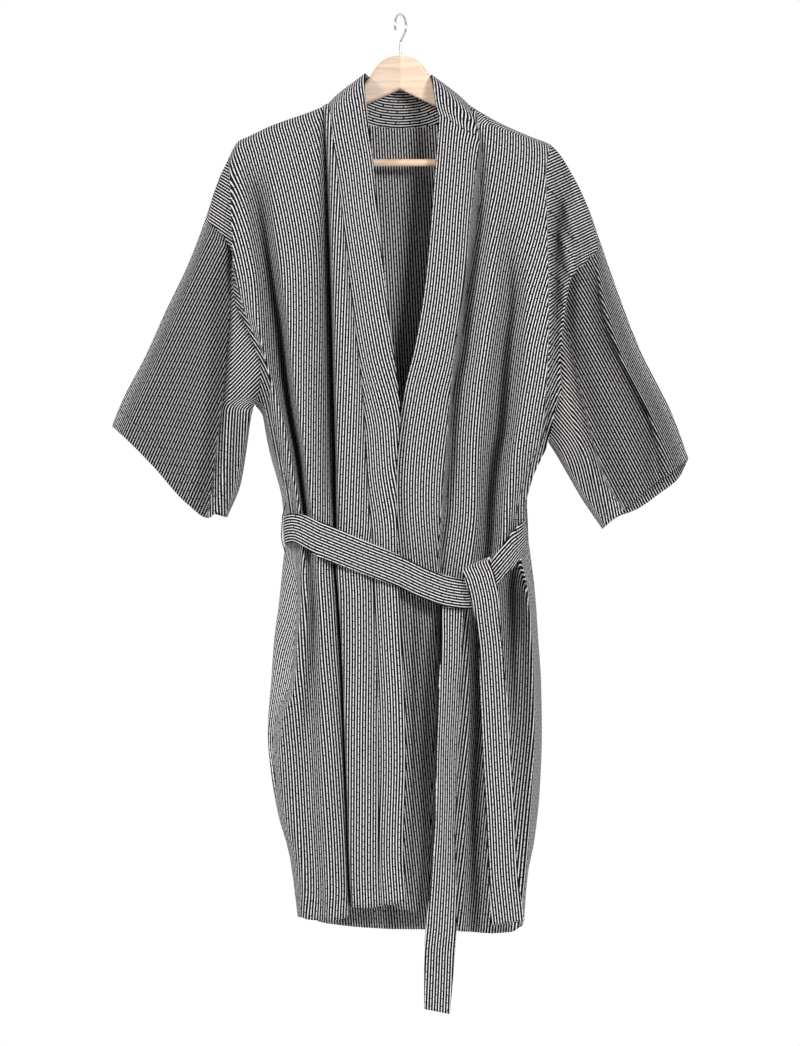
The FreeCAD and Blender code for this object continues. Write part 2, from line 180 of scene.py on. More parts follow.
def grain_of(seen, start, square=True):
    """Distance across the ribs from column `start`, and along them from the first row.

    `square` measures across at right angles to the columns.
    """
    steps, ways = np.diff(seen, axis=1), np.gradient(seen, axis=0)
    ways = ways[:, 1:] + ways[:, :-1]
    ways /= np.maximum(np.linalg.norm(ways, axis=2), 0.1 * MM)[:, :, None]
    slid = (steps * ways).sum(axis=2) * square
    wide = np.sqrt(np.maximum((steps**2).sum(axis=2) - slid**2, 0))
    none = np.zeros((len(seen), 1))
    across, along = (np.concatenate([none, np.cumsum(d, axis=1)], axis=1) for d in (wide, slid))
    down = np.concatenate(([0], np.cumsum(np.linalg.norm(np.diff(seen[:, start], axis=0), axis=1))))[:, None]
    across -= across[:, start : start + 1]
    along += down - along[:, start : start + 1]
    return np.stack([across, along, np.zeros_like(across)], axis=2)


def hollows(height, beside=(-1.0, -1.0)):
    """How far each point lies below the lower of the ridges to its left and to its right."""
    wide = np.pad(height, ((0, 0), (REACH, REACH)), mode="edge")
    wide[:, :REACH] = np.maximum(wide[:, :REACH], beside[0])
    wide[:, -REACH:] = np.maximum(wide[:, -REACH:], beside[1])
    count = height.shape[1]
    left = np.max([wide[:, REACH - k : REACH - k + count] for k in range(1, REACH + 1)], axis=0)
    right = np.max([wide[:, REACH + k : REACH + k + count] for k in range(1, REACH + 1)], axis=0)
    return np.maximum(np.minimum(left, right) - height, 0)


def drift(angles, at):
    """How far a rib has moved sideways at a distance, from (distance in mm, angle in degrees)."""
    place, angle = np.array(angles, float).T
    fine = np.arange(-1400, 1401)
    slope = np.interp(fine, place, np.tan(np.radians(angle)))
    return np.interp(at, fine * MM, np.cumsum(slope) * MM)


def laid_straight(grid, angles, hinge, inner=False):
    """Distance across straight ribs that lean by the angles given for each height (mm, degrees).

    Near the edge of a sleeve or side they follow the cloth round it; `inner` marks the inner edge.
    """
    x, y, z = np.moveaxis(grid, 2, 0)
    height, angle = np.array(angles, float).T
    fine = np.arange(-1400, 1)
    lean = np.radians(np.interp(fine, height[::-1], angle[::-1]))
    edge = (ROUND_EDGE - np.minimum(np.abs(y), ROUND_EDGE)) * np.where(inner, -1, 1)
    rise = np.interp(z, fine * MM, np.cumsum(np.sin(lean)) * MM)
    return (x - hinge) * np.cos(np.interp(z, fine * MM, lean)) + rise + np.sign(hinge) * edge


def carried_on(grid, grain, mark, strip, way):
    """Distance across the ribs of a strip, counted on from the fold line at its inner side."""
    run = np.cumsum(np.pad(np.linalg.norm(np.diff(grid, axis=1), axis=2), ((0, 0), (1, 0))), axis=1)
    return grain[:, mark : mark + 1, 0] + way * np.abs(run[:, strip] - run[:, mark : mark + 1])


def turn_grain(grid, grain, marks, leans, strip):
    """Leans the ribs from each given fold line on, and lays those of the side strip aslant.

    A lean of more than 0 takes a rib to the left on its way down. The strip is (first line,
    last line, angles by height). Its ribs are straight down to the belt, and are counted on from
    the last fold below it.
    """
    ends = [marks[line] for line, _ in leans[1:]] + [grid.shape[1]]
    own = grain[:, :, 1] - grain[:1, :, 1]
    for (line, angles), end in zip(leans, ends):
        part = slice(marks[line], end)
        grain[:, part, 0] += drift(angles, own[:, part])
    if strip:
        first, last, angles = strip
        at_left = first == 0
        fold, beyond = side_strips(marks)[0] if at_left else (marks[-3], slice(marks[-3], None))
        grain[:, beyond, 0] = carried_on(grid, grain, fold, beyond, -1 if at_left else 1)
        part = slice(marks[first], marks[last] + (last == len(marks) - 1))
        laid = laid_straight(grid[:, part], angles, STRIP_HINGE * np.sign(grid[0, part, 0].mean()))
        grain[:, part, 0] = np.where(grid[:, part, 2] > STRIP_END, laid, grain[:, part, 0])
    return grain


def edges_of(grid, grain, hem=HEM):
    """Distances to the hem's stitching and to the two side seams, all signed."""
    across, along = grain[:, :, 0], grain[:, :, 1]
    to_hem = along - (along[-1:, :] - hem)
    return np.stack([to_hem, across - across[:, :1], across[:, -1:] - across], axis=2)


def hung(lines, side, start, leans=(), strip=None, rows=170, seed=1, at_neck=(), beside=(-1.0, -1.0)):
    """A panel that hangs from the shoulder, through fold lines of (x, z, out).

    `side` is -1 in front and 1 behind.
    """
    shares = np.linspace(0, 1, rows) ** 1.25
    net = [follow(line, shares) for line in lines]
    shaped = []
    for k, line in enumerate(net):
        x, z, out = line.T
        below = shares * (z[0] - z[-1])
        lift = np.ones_like(below) if k in at_neck else rounded(below, SHOULDER_ROUND)
        top = np.interp(np.abs(x), [0, 0.1, 0.212, 0.28], [0, -0.006, -0.02, -0.004])
        shaped.append(np.stack([x, top * (1 - lift) + side * out * lift, z], axis=1))
    grid, marks = weave_rows(shaped)
    grid = ripple_below(grid, seed)
    grain = grain_of(less_folded(grid, marks), marks[start])
    edges = edges_of(grid, grain)
    grain = turn_grain(grid, grain, marks, leans, strip)
    below_belt = np.clip((-0.5 - grid[:, :, 2]) / 0.2, 0, 1)
    # Painted shade: each point's depth below its neighbouring ridges goes into the grain's third value and
    # darkens the cloth; on the back only below the belt. With beside, the edge of a layer lying over this
    # piece casts painted shadow on its nearest columns below the belt.
    hollow = hollows(side * grid[:, :, 1])
    if max(beside) > 0:
        hollow = np.maximum(hollow, hollows(side * grid[:, :, 1], beside) * below_belt)
    grain[:, :, 2] = hollow * (below_belt if side > 0 else 1)
    grid = raise_hem(grid, edges, side)
    if side < 0:
        turned = grid[:1] + [0, SHOULDER_TURN, -0.3 * SHOULDER_TURN]
        grid = np.concatenate([turned, grid])
        grain = np.concatenate([grain[:1] - [0, SHOULDER_TURN, 0], grain])
        edges = np.concatenate([edges[:1] - [SHOULDER_TURN, 0, 0], edges])
    return grid, grain, edges


def ripple_below(grid, seed, size=1.3 * MM):
    """Ripples that start some way below the shoulder and leave the panel's own edges in place."""
    down = np.linspace(0, 1, grid.shape[0])[:, None]
    sideways = np.linspace(0, 1, grid.shape[1])[None, :]
    hold = np.clip(down / 0.15, 0, 1) * np.clip(sideways / 0.06, 0, 1) * np.clip((1 - sideways) / 0.06, 0, 1)
    moved = ripple(grid.copy(), size, seed)
    grid[:, :, 1] += (moved[:, :, 1] - grid[:, :, 1]) * hold
    return grid


def raise_hem(grid, edges, side):
    """The hem is turned in twice, so it stands a little prouder than the cloth above it."""
    grid[:, :, 1] += side * HEM_RISE * np.clip(edges[:, :, 0] / (2 * MM) + 0.5, 0, 1)
    return grid


# ---------------------------------------------------------------- materials


class Nodes:
    """Short names for the nodes of one material."""

    def __init__(self, name):
        self.material = bpy.data.materials.new(name)
        self.material.use_nodes = True
        self.tree = self.material.node_tree
        self.bsdf = self.tree.nodes["Principled BSDF"]

    def put(self, value, socket):
        if isinstance(value, bpy.types.NodeSocket):
            self.tree.links.new(value, socket)
        else:
            socket.default_value = value

    def math(self, operation, a, b=0.0, c=0.0):
        node = self.tree.nodes.new("ShaderNodeMath")
        node.operation = operation
        for value, socket in zip((a, b, c), node.inputs):
            self.put(value, socket)
        return node.outputs[0]

    def less(self, a, b):
        return self.math("SUBTRACT", a, b)

    def times(self, a, b):
        return self.math("MULTIPLY", a, b)

    def off(self, value, middle=0.0):
        """How far a value is from its middle."""
        return self.math("ABSOLUTE", self.less(value, middle) if middle else value)

    def wave(self, value):
        """A sine wave between 0 and 2."""
        return self.math("ADD", self.math("SINE", value), 1.0)

    def attribute(self, name):
        node = self.tree.nodes.new("ShaderNodeAttribute")
        node.attribute_name = name
        split = self.tree.nodes.new("ShaderNodeSeparateXYZ")
        self.tree.links.new(node.outputs["Vector"], split.inputs[0])
        return split.outputs

    def noise(self, vector, scale, detail=3.0, roughness=0.6):
        node = self.tree.nodes.new("ShaderNodeTexNoise")
        self.put(vector, node.inputs["Vector"])
        node.inputs["Scale"].default_value = scale
        node.inputs["Detail"].default_value = detail
        node.inputs["Roughness"].default_value = roughness
        return node.outputs["Fac"]

    def vector(self, x, y, z=0.0):
        node = self.tree.nodes.new("ShaderNodeCombineXYZ")
        for value, socket in zip((x, y, z), node.inputs):
            self.put(value, socket)
        return node.outputs[0]

    def place(self, scale=(1, 1, 1), turn=(0, 0, 0)):
        """Object coordinates, scaled and turned."""
        where = self.tree.nodes.new("ShaderNodeTexCoord")
        mapping = self.tree.nodes.new("ShaderNodeMapping")
        mapping.inputs["Scale"].default_value = scale
        mapping.inputs["Rotation"].default_value = turn
        self.tree.links.new(where.outputs["Object"], mapping.inputs["Vector"])
        return mapping.outputs[0]

    def mix(self, share, first, second):
        node = self.tree.nodes.new("ShaderNodeMix")
        node.data_type = "RGBA"
        self.put(share, node.inputs[0])
        self.put(first, node.inputs[6])
        self.put(second, node.inputs[7])
        return node.outputs[2]

    def ramp(self, value, low, high):
        """0 below low, 1 above high, smooth between."""
        node = self.tree.nodes.new("ShaderNodeMapRange")
        node.interpolation_type = "SMOOTHSTEP"
        self.put(value, node.inputs["Value"])
        node.inputs["From Min"].default_value = low
        node.inputs["From Max"].default_value = high
        return node.outputs["Result"]

    def bump(self, height, distance, strength=1.0):
        node = self.tree.nodes.new("ShaderNodeBump")
        node.inputs["Strength"].default_value = strength
        node.inputs["Distance"].default_value = distance
        self.put(height, node.inputs["Height"])
        self.tree.links.new(node.outputs["Normal"], self.bsdf.inputs["Normal"])

    def finish(self, **constants):
        for name, value in constants.items():
            self.bsdf.inputs[name.replace("_", " ")].default_value = value
        return self.material


def ribbed_cloth(name, white_share):
    """Black cotton with raised white ribs: one solid, the next in dashes, and so on. Painted shade darkens it
    in the folds' hollows.
    """
    n = Nodes(name)
    across, along, hollow = n.attribute("grain")
    to_hem, to_left, to_right = n.attribute("edges")
    rib = n.math("DIVIDE", n.math("ADD", across, FAR_LEFT), RIB)
    number = n.math("FLOOR", rib)
    from_middle = n.off(n.less(rib, number), 0.5)
    thread = n.noise(n.vector(n.times(number, 0.37), along), 420.0, 2.0)
    wobble = n.times(n.less(thread, 0.5), 0.10)
    side = 0.5 * white_share
    white = n.less(1.0, n.ramp(n.math("ADD", from_middle, wobble), side - 0.02, side + 0.02))
    odd = n.math("MODULO", number, 2.0)
    shift = n.times(n.math("MODULO", n.math("FLOOR", n.times(number, 0.5)), 2.0), 0.5)
    beat = n.math("FRACT", n.math("ADD", n.math("DIVIDE", along, DASH), shift))
    gap = n.times(odd, n.less(1.0, n.ramp(n.off(beat, 0.5), 0.045, 0.062)))
    white = n.times(white, n.less(1.0, gap))
    fluff = n.noise(n.vector(across, along), 1500.0, 3.0, 0.7)
    bright = n.mix(fluff, (0.60, 0.585, 0.595, 1), (0.84, 0.82, 0.835, 1))
    dark = n.mix(fluff, (0.002, 0.0018, 0.002, 1), (0.008, 0.007, 0.008, 1))
    # Painted shade: the deeper a point lies in a fold's hollow (the third value of the grain attribute), the
    # nearer its colour is taken to black, by up to 88 per cent.
    shade = n.times(n.ramp(hollow, 1.5 * MM, 36 * MM), 0.88)
    colour = n.mix(shade, n.mix(white, dark, bright), (0.001, 0.001, 0.001, 1))
    stitch_gap = n.ramp(n.off(to_hem), 0.35 * MM, 0.8 * MM)
    fray = n.times(n.wave(n.times(across, 2300.0)), 0.5)
    sewn = n.times(n.less(1.0, stitch_gap), fray)
    final = n.mix(n.times(sewn, 0.85), colour, (0.01, 0.009, 0.01, 1))
    n.tree.links.new(final, n.bsdf.inputs["Base Color"])
    picks = n.times(n.wave(n.times(along, 2 * math.pi / PICK)), 0.12)
    crown = n.math("COSINE", n.times(from_middle, math.pi))
    height = n.math("ADD", n.times(crown, 0.8), n.math("ADD", picks, n.times(fluff, 0.35)))
    at_left, at_right = (n.ramp(n.off(seam), 0.0, 1.6 * MM) for seam in (to_left, to_right))
    pressed = n.times(n.math("ADD", 0.3, n.times(stitch_gap, 0.7)), n.math("MINIMUM", at_left, at_right))
    height = n.times(height, pressed)
    n.bump(height, 0.55 * MM, 0.8)
    rough = n.math("ADD", 0.82, n.times(fluff, 0.12))
    n.tree.links.new(rough, n.bsdf.inputs["Roughness"])
    return n.finish(Specular_IOR_Level=0.06, Sheen_Weight=0.02, Sheen_Roughness=0.6)


def beech(name, tone):
    """Lacquered beech: slanted grain, darker streaks and short pores."""
    n = Nodes(name)
    along = n.place((9, 40, 150), (0, math.radians(24), 0))
    streaks = n.noise(along, 1.0, 5.0, 0.62)
    pores = n.noise(n.place((120, 400, 1500), (0, math.radians(24), 0)), 1.0, 2.0, 0.5)
    rings = n.noise(n.place((3, 8, 22), (0, math.radians(24), 0)), 1.0, 3.0, 0.5)
    light = tuple(c * tone for c in (0.86, 0.67, 0.52)) + (1,)
    deep = tuple(c * tone for c in (0.66, 0.45, 0.31)) + (1,)
    brown = tuple(c * tone for c in (0.50, 0.31, 0.20)) + (1,)
    body = n.mix(n.ramp(streaks, 0.30, 0.72), light, deep)
    body = n.mix(n.times(n.ramp(rings, 0.45, 0.75), 0.22), body, deep)
    body = n.mix(n.times(n.ramp(pores, 0.60, 0.74), 0.40), body, brown)
    n.tree.links.new(body, n.bsdf.inputs["Base Color"])
    n.bump(n.math("ADD", n.times(streaks, 0.4), n.times(pores, -0.6)), 0.12 * MM, 0.5)
    return n.finish(Roughness=0.42, Specular_IOR_Level=0.35, Coat_Weight=0.18, Coat_Roughness=0.2)


def chrome(name):
    """Plated wire with the faint lines it was drawn with."""
    n = Nodes(name)
    drawn = n.noise(n.place((2600, 2600, 60)), 1.0, 2.0)
    n.tree.links.new(n.mix(drawn, (0.52, 0.53, 0.55, 1), (0.70, 0.71, 0.73, 1)), n.bsdf.inputs["Base Color"])
    n.bump(drawn, 0.02 * MM, 0.4)
    return n.finish(Metallic=1.0, Roughness=0.16, Coat_Weight=0.3, Coat_Roughness=0.05)


def thread(name):
    """Twisted black cotton thread with a pale ply."""
    n = Nodes(name)
    fluff = n.noise(n.place(), 2600.0, 3.0, 0.7)
    ply = n.noise(n.place((900, 900, 420), (0.6, 0, 0)), 1.0, 1.0)
    tone = n.mix(n.ramp(ply, 0.5, 0.62), (0.012, 0.011, 0.012, 1), (0.22, 0.21, 0.22, 1))
    n.tree.links.new(tone, n.bsdf.inputs["Base Color"])
    n.bump(n.math("ADD", fluff, ply), 0.3 * MM, 0.8)
    return n.finish(Roughness=0.9, Specular_IOR_Level=0.1, Sheen_Weight=0.1)


cloth = ribbed_cloth("ribbed_cotton", 0.29)
# The back and the back of the neck band use a copy with wider white ribs, so they come out lighter: painted
# light, chiefly for the inside of the back seen in the neck opening.
back_cloth = ribbed_cloth("ribbed_cotton_back", 0.36)
# Lit and shaded copies of one beech, differing only in brightness: painted shade is darkest on the left arm,
# lighter on the right arm and least on the trouser bar.
beech_left = beech("beech_left", 0.70)
beech_right = beech("beech_right", 0.88)
beech_bar = beech("beech_bar", 0.97)
hook_chrome = chrome("hook_chrome")
loop_cotton = thread("loop_cotton")
for node, material in (
    ("hanger_arm_left", beech_left),
    ("hanger_arm_right", beech_right),
    ("trouser_bar", beech_bar),
    ("hanger_hook", hook_chrome),
):
    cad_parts[node].data.materials.clear()
    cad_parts[node].data.materials.append(material)

# ---------------------------------------------------------------- fold lines, in mm: x, z, out

SIDE_SEAM_LEFT = [
    (-188, -511, 30), (-205, -544, 6), (-195, -558, 0), (-183, -593, 0), (-170, -643, 0), (-160, -674, 4),
    (-153, -709, 10), (-146, -752, 26), (-144, -814, 34), (-149, -877, 32), (-155, -940, 28),
    (-172, -978, 14), (-180, -1031, 2), (-176, -1066, 0), (-170, -1120, 0), (-155, -1182, 0),
    (-144, -1262, 0),
]
SIDE_SEAM_RIGHT = [
    (204, -593, 0), (187, -628, 0), (184, -646, 0), (179, -671, 0), (174, -689, 0), (172, -702, 0),
    (176, -721, 0), (183, -765, 4), (188, -807, 4), (193, -877, 2), (197, -940, 0), (198, -1007, 0),
    (195, -1088, 0), (188, -1155, 0), (178, -1209, 0), (173, -1270, 0),
]

LEFT_FRONT = [
    [(-278, -299, 5), (-236, -334, 26), (-232, -401, 24), (-218, -433, 30),
     (-195, -490, 34)] + SIDE_SEAM_LEFT,
    [(-239, -198, 34), (-237, -261, 44), (-233, -350, 46), (-220, -408, 46), (-194, -471, 48),
     (-181, -510, 46), (-183, -544, 42), (-176, -583, 36), (-163, -639, 32), (-152, -681, 32),
     (-141, -752, 40), (-139, -821, 44), (-144, -884, 42), (-149, -947, 38), (-163, -989, 26),
     (-169, -1045, 15), (-162, -1120, 12), (-146, -1185, 14), (-138, -1266, 14)],
    [(-227, -178, 36), (-225, -222, 50), (-215, -306, 56), (-200, -430, 57), (-180, -520, 56),
     (-163, -583, 54), (-152, -639, 50), (-142, -688, 46), (-135, -765, 48), (-132, -821, 50),
     (-135, -884, 48), (-141, -961, 42), (-149, -1045, 30), (-146, -1120, 28), (-135, -1199, 28),
     (-128, -1269, 26)],
    [(-212, -171, 40), (-206, -215, 42), (-198, -252, 34), (-190, -314, 26), (-178, -395, 19),
     (-170, -441, 16), (-156, -560, 12), (-145, -616, 12), (-136, -691, 16), (-130, -737, 30),
     (-127, -779, 36), (-124, -849, 34), (-125, -933, 32), (-128, -1017, 28), (-128, -1101, 26),
     (-121, -1199, 26), (-115, -1270, 26)],
    [(-183, -157, 44), (-177, -233, 58), (-169, -331, 61), (-158, -401, 61), (-148, -499, 61),
     (-136, -583, 61), (-125, -667, 60), (-113, -779, 58), (-110, -849, 59), (-108, -933, 59),
     (-107, -1017, 58), (-104, -1101, 56), (-99, -1199, 54), (-94, -1269, 50)],
    [(-116, -132, 57), (-115, -238, 52), (-116, -332, 46), (-114, -426, 42), (-111, -538, 40),
     (-104, -658, 42), (-97, -721, 46), (-96, -768, 48), (-93, -815, 48), (-88, -908, 47),
     (-84, -997, 45), (-80, -1102, 43), (-76, -1209, 42), (-74, -1263, 42)],
    [(-108, -128, 50), (-104, -238, 24), (-101, -332, 9), (-98, -426, 3), (-95, -538, 2), (-92, -658, 4),
     (-92, -721, 8), (-92, -768, 8), (-89, -815, 8), (-83, -908, 9), (-80, -997, 9), (-76, -1102, 10),
     (-73, -1209, 14), (-70, -1251, 20)],
    [(-106, -126, 56), (-98, -238, 53), (-95, -332, 53), (-92, -426, 53), (-89, -538, 53), (-87, -658, 53),
     (-86, -721, 53), (-89, -768, 53), (-85, -815, 53), (-80, -908, 53), (-77, -997, 53), (-73, -1102, 52),
     (-69, -1209, 51), (-66, -1251, 50)],
    [(-103, -125, 58), (-89, -238, 59), (-83, -332, 60), (-76, -426, 61), (-69, -538, 61), (-64, -658, 61),
     (-61, -721, 61), (-59, -768, 61), (-57, -815, 61), (-52, -908, 61), (-50, -997, 61), (-48, -1102, 61),
     (-46, -1209, 60), (-43, -1251, 59)],
    [(-100, -124, 58), (-92, -191, 57), (-82, -269, 56), (-68, -401, 55), (-52, -541, 54), (-46, -653, 54),
     (-40, -737, 56), (-33, -891, 55), (-30, -1031, 55), (-29, -1171, 55), (-26, -1248, 55)],
]

RIGHT_FRONT = [
    [(94, -125, 50), (110, -181, 50), (104, -227, 49), (97, -300, 48), (88, -383, 48), (76, -467, 48),
     (68, -541, 48), (62, -625, 48), (52, -765, 38), (50, -891, 20), (46, -1031, 18), (41, -1171, 22),
     (38, -1266, 30)],
    [(106, -133, 50), (114, -199, 38), (111, -262, 29), (104, -324, 24), (94, -387, 22), (86, -468, 22),
     (75, -527, 23), (69, -625, 26), (65, -681, 30), (58, -765, 32), (57, -877, 9), (54, -1031, 8),
     (50, -1171, 14), (47, -1270, 24)],
    [(121, -142, 50), (128, -205, 52), (130, -261, 52), (128, -387, 52), (122, -450, 52), (111, -527, 52),
     (104, -611, 52), (102, -695, 52), (97, -765, 52), (92, -877, 51), (92, -961, 51), (88, -1101, 51),
     (83, -1284, 50)],
    [(139, -152, 50), (150, -261, 46), (155, -324, 37), (158, -387, 24), (150, -471, 16), (146, -527, 13),
     (142, -580, 10), (132, -628, 9), (125, -689, 9), (122, -752, 14), (108, -821, 20), (108, -961, 22),
     (104, -1101, 24), (100, -1286, 28)],
    [(181, -171, 46), (184, -261, 51), (184, -331, 52), (181, -429, 52), (178, -527, 52), (164, -611, 52),
     (150, -689, 51), (144, -744, 50), (128, -821, 50), (131, -961, 50), (130, -1101, 50), (125, -1287, 48)],
    [(211, -184, 36), (204, -222, 48), (206, -303, 52), (208, -425, 53), (205, -513, 50), (197, -593, 36),
     (178, -639, 34), (164, -689, 32), (159, -744, 24), (155, -807, 3), (156, -877, 12), (158, -1031, 26),
     (155, -1286, 30)],
    [(244, -231, 18), (227, -268, 20), (220, -317, 18), (219, -373, 20), (215, -443, 30), (212, -513, 34),
     (202, -593, 16), (183, -639, 18), (169, -689, 18), (167, -744, 22), (177, -807, 43), (183, -877, 44),
     (186, -1007, 40), (181, -1101, 36), (166, -1280, 24)],
    [(262, -268, 12), (248, -305, 38), (243, -345, 44), (234, -385, 40), (225, -450, 40), (220, -520, 36),
     (206, -600, 20), (186, -645, 14), (172, -690, 14), (171, -744, 14), (180, -807, 30), (188, -877, 32),
     (191, -1007, 28), (187, -1101, 24), (170, -1278, 16)],
    [(282, -324, 5), (265, -342, 26), (233, -380, 28), (219, -420, 28), (219, -471, 30), (225, -527, 30),
     (215, -553, 22)] + SIDE_SEAM_RIGHT,
]


def behind(points):
    """A front line's points, measured backwards."""
    return [(x, z, -out) for x, z, out in points]


BACK = [
    [(-278, -299, 5), (-245, -345, 22), (-226, -430, 26), (-212, -500, 20)] + behind(SIDE_SEAM_LEFT[1:]),
    [(-240, -203, 34), (-236, -300, 42), (-222, -420, 42), (-200, -520, 40), (-186, -600, 34),
     (-166, -680, 28), (-162, -737, 12), (-166, -783, 4), (-170, -824, 4), (-177, -877, 4),
     (-181, -933, 4), (-186, -1007, 6), (-182, -1060, 8), (-172, -1120, 10), (-155, -1182, 12),
     (-144, -1266, 12)],
    [(-195, -168, 40), (-188, -300, 36), (-175, -450, 28), (-160, -600, 24), (-140, -720, 30),
     (-148, -900, 34), (-142, -1100, 34), (-125, -1270, 36)],
    [(-150, -151, 44), (-150, -300, 48), (-140, -500, 49), (-120, -700, 42), (-118, -900, 48),
     (-112, -1276, 49)],
    [(-118, -136, 44), (-115, -300, 36), (-105, -500, 28), (-92, -700, 34), (-88, -900, 30),
     (-80, -1280, 32)],
    [(-84, -126, 20), (-80, -300, 48), (-72, -500, 49), (-62, -700, 43), (-55, -900, 49), (-45, -1284, 49)],
    [(-40, -153, 37), (-42, -300, 43), (-38, -500, 35), (-28, -700, 36), (-22, -900, 33), (-12, -1285, 33)],
    [(0, -157, 40), (0, -300, 47), (0, -500, 49), (6, -700, 43), (12, -900, 49), (22, -1286, 49)],
    [(42, -154, 37), (42, -300, 43), (40, -500, 35), (38, -700, 36), (46, -900, 33), (56, -1286, 33)],
    [(88, -128, 20), (85, -300, 48), (82, -500, 49), (76, -700, 43), (82, -900, 49), (92, -1284, 49)],
    [(122, -147, 44), (122, -300, 38), (118, -500, 29), (104, -700, 34), (114, -900, 30), (122, -1280, 32)],
    [(165, -168, 44), (160, -300, 48), (152, -500, 49), (134, -700, 42), (150, -900, 48), (150, -1275, 46)],
    [(211, -190, 34), (206, -303, 42), (204, -440, 42), (196, -560, 38), (178, -650, 32), (163, -720, 26),
     (183, -850, 28), (188, -1000, 28), (166, -1272, 26)],
    [(282, -324, 5), (262, -348, 22), (236, -430, 26), (218, -530, 20)] + behind(SIDE_SEAM_RIGHT),
]


LEFT_BAND = [
    LEFT_FRONT[-1],
    [(-88, -112, 60), (-82, -168, 61), (-72, -240, 61), (-52, -352, 62), (-38, -467, 63), (-26, -587, 64),
     (-23, -695, 64), (-17, -877, 63), (-12, -1031, 62), (-11, -1170, 62), (-9, -1246, 61)],
    [(-62, -92, 58), (-60, -150, 61), (-50, -230, 62), (-34, -360, 64), (-20, -480, 66), (-10, -590, 66),
     (-11, -700, 66), (-5, -877, 65), (0, -1031, 64), (0, -1170, 63), (2, -1245, 62)],
    [(-49, -82, 52), (-50, -98, 54), (-46, -145, 57), (-38, -208, 59), (-33, -269, 60), (-26, -332, 61),
     (-18, -411, 62), (-8, -488, 63), (-1, -562, 64), (-6, -639, 64), (-5, -709, 64), (-4, -765, 64),
     (1, -877, 63), (5, -961, 62), (7, -1045, 62), (4, -1169, 61), (8, -1244, 60)],
]
RIGHT_BAND = [
    RIGHT_FRONT[0],
    [(80, -112, 53), (92, -168, 54), (86, -226, 54), (78, -300, 54), (70, -383, 54), (57, -467, 54),
     (45, -540, 54), (38, -625, 54), (30, -765, 42), (28, -891, 26), (28, -1031, 24), (24, -1260, 32)],
    [(58, -95, 52), (70, -150, 54), (66, -226, 54), (58, -301, 54), (50, -383, 54), (36, -467, 54),
     (22, -530, 53), (10, -625, 53), (4, -765, 46), (2, -891, 34), (2, -1031, 32), (2, -1254, 38)],
    [(43, -84, 48), (50, -131, 51), (54, -145, 52), (52, -177, 52), (48, -226, 52), (42, -301, 52),
     (34, -383, 52), (20, -467, 53), (6, -525, 53), (-8, -625, 52), (-12, -709, 51), (-13, -821, 45),
     (-13, -1031, 42), (-13, -1249, 43)],
]

# How the ribs lean: from which fold line on, then (distance below the shoulder in mm, degrees).
LEFT_LEANS = [
    (0, [(0, -3), (150, -4), (250, 3), (600, 3), (800, -3), (1200, -3)]),
    (6, [(0, 6), (200, 4), (600, 3), (1200, 2)]),
]
RIGHT_LEANS = [
    (0, [(0, 3), (1100, 3)]),
    (1, [(0, 42), (22, 42), (23, 10), (190, 12), (280, 6), (340, 0), (560, 0), (640, 5), (1200, 5)]),
]
LEFT_BAND_LEANS = [(0, [(0, -2), (390, -3), (420, -9), (610, -9), (660, 0), (1200, 0)])]
RIGHT_BAND_LEANS = [(0, [(0, 0), (560, 0), (640, 6), (1200, 6)])]
BACK_LEANS = [(0, [(0, -3.4), (1200, -3.4)])]
# On the sleeves: main part, underarm strip (height, degrees), and where the lean turns about.
LEFT_SLEEVE_LEANS = (
    [(-300, -27), (-700, -24)],
    [(-300, -30), (-400, -42), (-540, -45), (-556, -4), (-720, 2)],
    -0.25,
)
RIGHT_SLEEVE_LEANS = (
    [(-300, 30), (-700, 27)],
    [(-300, 40), (-580, 38), (-640, 14), (-720, 12)],
    0.25,
)
# The strips over the armholes and down the sides: first and last fold line, then (height, degrees).
LEFT_STRIP = (0, 1, [
    (-180, 57), (-330, 55), (-420, 42), (-480, 32), (-560, 12), (-700, 8), (-850, -3), (-1000, 5),
    (-1270, -5),
])
RIGHT_STRIP = (5, 8, [
    (-180, -62), (-230, -64), (-330, -62), (-400, -52), (-450, -35), (-530, -25), (-600, -15), (-700, 0),
    (-760, 8), (-900, 4), (-1000, 0), (-1100, -5), (-1270, -5),
])

# Sleeve lines run from the armhole seam to the cuff: across the front from the outer fold to the
# underarm fold, then back across the back.
LEFT_SLEEVE = [
    [(-278, -299, 3), (-296, -345, 0), (-327, -411, 0), (-358, -479, 0), (-390, -541, 0), (-405, -577, 0)],
    [(-267, -308, 20), (-286, -359, 24), (-314, -429, 26), (-342, -496, 26), (-372, -562, 24),
     (-386, -594, 22)],
    [(-253, -320, 26), (-268, -387, 34), (-289, -464, 36), (-312, -541, 36), (-332, -600, 34),
     (-348, -632, 32)],
    [(-248, -325, 28), (-267, -401, 35), (-271, -485, 38), (-277, -569, 38), (-289, -653, 35),
     (-298, -687, 30)],
    [(-236, -345, 18), (-239, -429, 11), (-245, -499, 10), (-254, -583, 10), (-264, -667, 11),
     (-270, -706, 12)],
    [(-232, -401, 22), (-236, -471, 28), (-240, -541, 28), (-244, -597, 26), (-251, -667, 24),
     (-257, -698, 22)],
    [(-195, -490, 32), (-210, -520, 30), (-226, -562, 20), (-231, -611, 16), (-240, -665, 14),
     (-249, -701, 14)],
    [(-205, -544, 4), (-209, -555, 2), (-212, -574, 0), (-218, -618, 0), (-225, -658, 0), (-244, -705, 0)],
    [(-214, -500, -20), (-226, -560, -24), (-240, -640, -24), (-262, -700, -20)],
    [(-226, -430, -26), (-250, -520, -32), (-275, -610, -32), (-300, -680, -28)],
    [(-245, -345, -22), (-282, -440, -33), (-322, -540, -33), (-350, -630, -28)],
    [(-266, -315, -16), (-300, -390, -26), (-345, -490, -26), (-380, -600, -22)],
]
